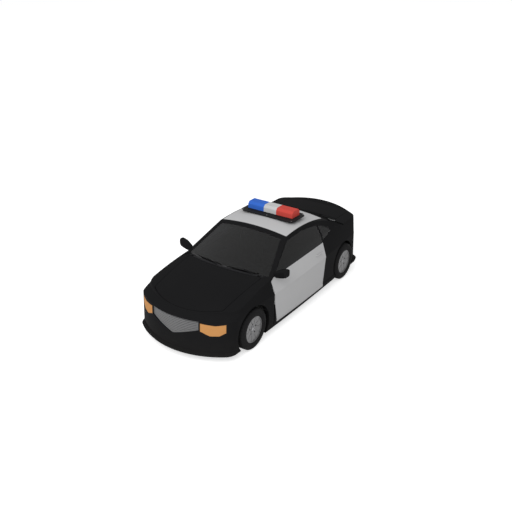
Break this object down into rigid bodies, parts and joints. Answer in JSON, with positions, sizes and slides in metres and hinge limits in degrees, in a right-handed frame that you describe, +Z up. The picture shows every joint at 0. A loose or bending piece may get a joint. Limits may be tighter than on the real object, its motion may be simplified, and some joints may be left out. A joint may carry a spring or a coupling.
{
  "type": "two-door police patrol car",
  "caption": "Two-door fastback patrol car, black with white doors and roof and a red, white and blue light bar; doors, bonnet and boot open, wheels steer and roll.",
  "frame": {"origin": "on the ground under the middle of the car", "axes": "-Y forward, +X to the car's left, +Z up"},
  "size_m": [2.084, 4.37, 1.486],
  "materials": {
    "black_paint": "gloss clear coat",
    "white_paint": "gloss clear coat",
    "tinted_glass": "dark tint",
    "amber_lens": "clear amber lens",
    "red_lens": "clear red lens",
    "blue_lens": "clear blue lens",
    "white_lens": "frosted white lens",
    "grille_plastic": "satin grey",
    "black_plastic": "grained black",
    "alloy": "satin grey",
    "tyre": "matt rubber",
    "chassis_steel": "satin black",
    "body_inner": "primer grey",
    "exhaust_steel": "heat stained",
    "cast_iron": "as cast",
    "trim_plastic": "soft grained",
    "seat_fabric": "woven"
  },
  "bodies": {
    "root": {"floor_pan": "body_inner", "bulkheads": "body_inner", "inner_wings": "body_inner", "body_side_left": "black_paint", "body_side_right": "black_paint", "front_wing_left": "black_paint", "front_wing_right": "black_paint", "front_bumper": "black_paint", "rear_bumper": "black_paint", "rear_panel": "black_paint", "rear_deck": "black_paint", "cowl": "black_plastic", "roof_headers": "black_paint", "roof_panel": "white_paint", "windscreen": "tinted_glass", "rear_window": "tinted_glass", "quarter_glass": "tinted_glass", "grille": "grille_plastic", "headlamps": "amber_lens", "tail_lamps": "red_lens", "lightbar_base": "black_plastic", "lightbar_blue": "blue_lens", "lightbar_white": "white_lens", "lightbar_red": "red_lens", "front_subframe": "chassis_steel", "rear_axle": "chassis_steel", "engine_block": "cast_iron", "exhaust": "exhaust_steel", "dashboard": "trim_plastic", "front_seats": "seat_fabric", "rear_bench": "seat_fabric"},
    "door_left": {"door_left": "white_paint", "door_glass_left": "tinted_glass", "mirror_left": "black_plastic"},
    "door_right": {"door_right": "white_paint", "door_glass_right": "tinted_glass", "mirror_right": "black_plastic"},
    "bonnet": {"bonnet": "black_paint"},
    "boot_lid": {"boot_lid": "black_paint"},
    "knuckle_left": {"knuckle_left": "cast_iron"},
    "knuckle_right": {"knuckle_right": "cast_iron"},
    "steering_wheel": {"steering_wheel": "trim_plastic"},
    "wheel_front_left": {"tyre_front_left": "tyre", "rim_front_left": "alloy"},
    "wheel_front_right": {"tyre_front_right": "tyre", "rim_front_right": "alloy"},
    "wheel_rear_left": {"tyre_rear_left": "tyre", "rim_rear_left": "alloy"},
    "wheel_rear_right": {"tyre_rear_right": "tyre", "rim_rear_right": "alloy"}
  },
  "joints": [
    {"name": "door_left", "type": "hinge", "parent": "root", "child": "door_left", "pos_m": [0.9035, -0.82, 0.62], "axis": [0, 0, -1], "range_deg": [0, 65]},
    {"name": "door_right", "type": "hinge", "parent": "root", "child": "door_right", "pos_m": [-0.9035, -0.82, 0.62], "axis": [0, 0, 1], "range_deg": [0, 65]},
    {"name": "bonnet", "type": "hinge", "parent": "root", "child": "bonnet", "pos_m": [0, -0.838, 0.905], "axis": [-1, 0, 0], "range_deg": [0, 55]},
    {"name": "boot_lid", "type": "hinge", "parent": "root", "child": "boot_lid", "pos_m": [0, 1.58, 1.004], "axis": [1, 0, 0], "range_deg": [0, 75]},
    {"name": "steer_left", "type": "hinge", "parent": "root", "child": "knuckle_left", "pos_m": [0.735, -1.33, 0.322], "axis": [0, 0, 1], "range_deg": [-32, 32]},
    {"name": "steer_right", "type": "hinge", "parent": "root", "child": "knuckle_right", "pos_m": [-0.735, -1.33, 0.322], "axis": [0, 0, 1], "range_deg": [-32, 32]},
    {"name": "steering_wheel", "type": "hinge", "parent": "root", "child": "steering_wheel", "pos_m": [0.37, -0.3, 0.82], "axis": [0, 0.9063, 0.4226], "range_deg": [-448, 448]},
    {"name": "wheel_front_left", "type": "hinge", "parent": "knuckle_left", "child": "wheel_front_left", "pos_m": [0.788, -1.33, 0.322], "axis": [1, 0, 0], "continuous": true},
    {"name": "wheel_front_right", "type": "hinge", "parent": "knuckle_right", "child": "wheel_front_right", "pos_m": [-0.788, -1.33, 0.322], "axis": [1, 0, 0], "continuous": true},
    {"name": "wheel_rear_left", "type": "hinge", "parent": "root", "child": "wheel_rear_left", "pos_m": [0.788, 1.42, 0.322], "axis": [1, 0, 0], "continuous": true},
    {"name": "wheel_rear_right", "type": "hinge", "parent": "root", "child": "wheel_rear_right", "pos_m": [-0.788, 1.42, 0.322], "axis": [1, 0, 0], "continuous": true}
  ],
  "couplings": [
    {"joint": "steer_right", "follows": "steer_left", "ratio": 1},
    {"joint": "steering_wheel", "follows": "steer_left", "ratio": 14}
  ]
}
